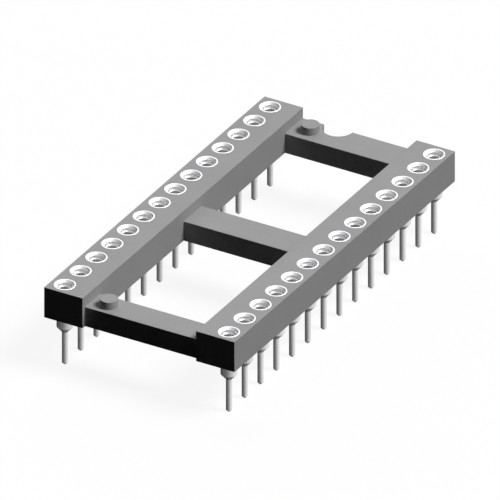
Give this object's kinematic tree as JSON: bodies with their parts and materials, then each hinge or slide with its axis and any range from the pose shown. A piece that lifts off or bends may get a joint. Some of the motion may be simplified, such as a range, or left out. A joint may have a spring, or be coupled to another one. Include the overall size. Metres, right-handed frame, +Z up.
{
  "type": "integrated circuit socket",
  "caption": "Open-frame dual-in-line socket: a grey moulded frame with two rows of turned contacts, spring clips inside and solder tails below.",
  "frame": {"origin": "centre of the contact grid at the tips of the solder tails", "axes": "+Y along the rows towards the notched end, +Z up out of the contacts' mouths, +X from the left row to the right row"},
  "size_m": [0.0176, 0.0356, 0.0074],
  "materials": {
    "housing_plastic": "fine moulded grain",
    "sleeve_tin": "bright tin plate over turned brass",
    "clip_tin": "tin plate over spring copper alloy"
  },
  "bodies": {
    "root": {"housing": "housing_plastic", "sleeve_01": "sleeve_tin", "sleeve_02": "sleeve_tin", "sleeve_03": "sleeve_tin", "sleeve_04": "sleeve_tin", "sleeve_05": "sleeve_tin", "sleeve_06": "sleeve_tin", "sleeve_07": "sleeve_tin", "sleeve_08": "sleeve_tin", "sleeve_09": "sleeve_tin", "sleeve_10": "sleeve_tin", "sleeve_11": "sleeve_tin", "sleeve_12": "sleeve_tin", "sleeve_13": "sleeve_tin", "sleeve_14": "sleeve_tin", "sleeve_15": "sleeve_tin", "sleeve_16": "sleeve_tin", "sleeve_17": "sleeve_tin", "sleeve_18": "sleeve_tin", "sleeve_19": "sleeve_tin", "sleeve_20": "sleeve_tin", "sleeve_21": "sleeve_tin", "sleeve_22": "sleeve_tin", "sleeve_23": "sleeve_tin", "sleeve_24": "sleeve_tin", "sleeve_25": "sleeve_tin", "sleeve_26": "sleeve_tin", "sleeve_27": "sleeve_tin", "sleeve_28": "sleeve_tin", "clip_01": "clip_tin", "clip_02": "clip_tin", "clip_03": "clip_tin", "clip_04": "clip_tin", "clip_05": "clip_tin", "clip_06": "clip_tin", "clip_07": "clip_tin", "clip_08": "clip_tin", "clip_09": "clip_tin", "clip_10": "clip_tin", "clip_11": "clip_tin", "clip_12": "clip_tin", "clip_13": "clip_tin", "clip_14": "clip_tin", "clip_15": "clip_tin", "clip_16": "clip_tin", "clip_17": "clip_tin", "clip_18": "clip_tin", "clip_19": "clip_tin", "clip_20": "clip_tin", "clip_21": "clip_tin", "clip_22": "clip_tin", "clip_23": "clip_tin", "clip_24": "clip_tin", "clip_25": "clip_tin", "clip_26": "clip_tin", "clip_27": "clip_tin", "clip_28": "clip_tin"}
  },
  "joints": []
}
